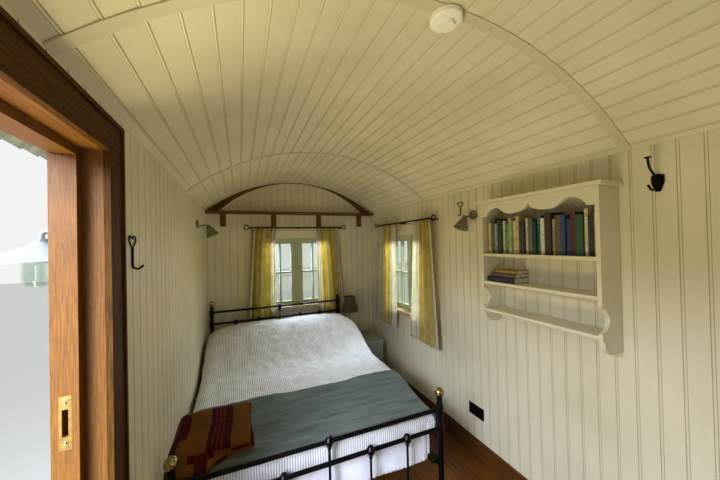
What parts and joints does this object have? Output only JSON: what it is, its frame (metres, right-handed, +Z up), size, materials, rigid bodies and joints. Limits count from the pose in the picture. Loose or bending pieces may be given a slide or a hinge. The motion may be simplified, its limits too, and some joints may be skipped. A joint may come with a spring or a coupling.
{
  "type": "shepherds hut",
  "caption": "Shepherd's hut on iron wheels with a curved roof: a boarded one-room cabin with a bed, a bookshelf, curtained casement windows and an open door.",
  "frame": {"origin": "on the ground, under the middle of the whole hut's box, drawbar included", "axes": "+Z up, +Y along the hut towards the end wall behind the bed, the doorway in the -X wall, the drawbar at the -Y end"},
  "size_m": [2.7299, 5.6599, 3.3618],
  "materials": {
    "cream_boards": "satin paint",
    "roof_iron": "matt",
    "frame_timber": "oiled",
    "wheel_iron": "matt paint",
    "black_iron": "satin",
    "brass": "worn",
    "floor_wood": "varnished",
    "door_hardwood": "oiled",
    "dark_wood": "stained",
    "sill_wood": "waxed",
    "sage_paint": "satin paint",
    "outside_paint": "matt paint",
    "pane_glass": "clear",
    "curtain_cloth": "striped",
    "shelf_paint": "satin paint",
    "book_cloth": "worn covers",
    "lamp_metal": "satin",
    "enamel": "gloss",
    "white_plastic": "satin",
    "black_plastic": "gloss",
    "bed_linen": "woven",
    "velvet": "pile",
    "striped_wool": "woven",
    "lamp_shade_cloth": "woven",
    "cabinet_paint": "matt paint"
  },
  "bodies": {
    "root": {"chassis_beams": "frame_timber", "cross_members": "frame_timber", "floor_joists": "frame_timber", "floor_boards": "floor_wood", "door_sill": "door_hardwood", "wheel_rear_left": "wheel_iron", "wheel_rear_right": "wheel_iron", "wheel_front_left": "wheel_iron", "wheel_front_right": "wheel_iron", "rear_axle": "frame_timber", "front_axle": "frame_timber", "turntable": "wheel_iron", "drawbar": "frame_timber", "left_wall_near": "cream_boards", "left_wall_far": "cream_boards", "left_wall_over_door": "cream_boards", "right_wall": "cream_boards", "far_end_wall": "cream_boards", "near_end_wall": "cream_boards", "vault_lining": "cream_boards", "ceiling_cover_strips": "cream_boards", "roof_bows": "frame_timber", "roof_sheet": "roof_iron", "corner_boards": "outside_paint", "end_arch_boards": "outside_paint", "door_frame": "door_hardwood", "lock_keep": "brass", "door_architrave": "dark_wood", "door_leaf": "door_hardwood", "door_hinges": "black_iron", "window_frames": "sage_paint", "window_architraves": "cream_boards", "window_sills": "sill_wood", "window_casements": "sage_paint", "window_glass": "pane_glass", "end_window_curtains": "curtain_cloth", "side_window_curtains": "curtain_cloth", "curtain_rods": "black_iron", "skirting_boards": "floor_wood", "ledge_shelf": "sill_wood", "arch_board": "sill_wood", "ledge_battens": "sill_wood", "bookshelf": "shelf_paint", "shelf_books": "book_cloth", "wall_lamps": "lamp_metal", "outside_lamp": "enamel", "outside_lamp_glass": "pane_glass", "wall_hooks": "black_iron", "smoke_alarm": "white_plastic", "wall_socket": "black_plastic", "bed_head": "black_iron", "bed_foot": "black_iron", "bed_knobs": "brass", "bed_base": "black_iron", "mattress": "bed_linen", "quilt": "bed_linen", "bed_throw": "velvet", "folded_blanket": "striped_wool", "bedside_cabinet": "cabinet_paint", "table_lamp": "lamp_shade_cloth"}
  },
  "joints": []
}
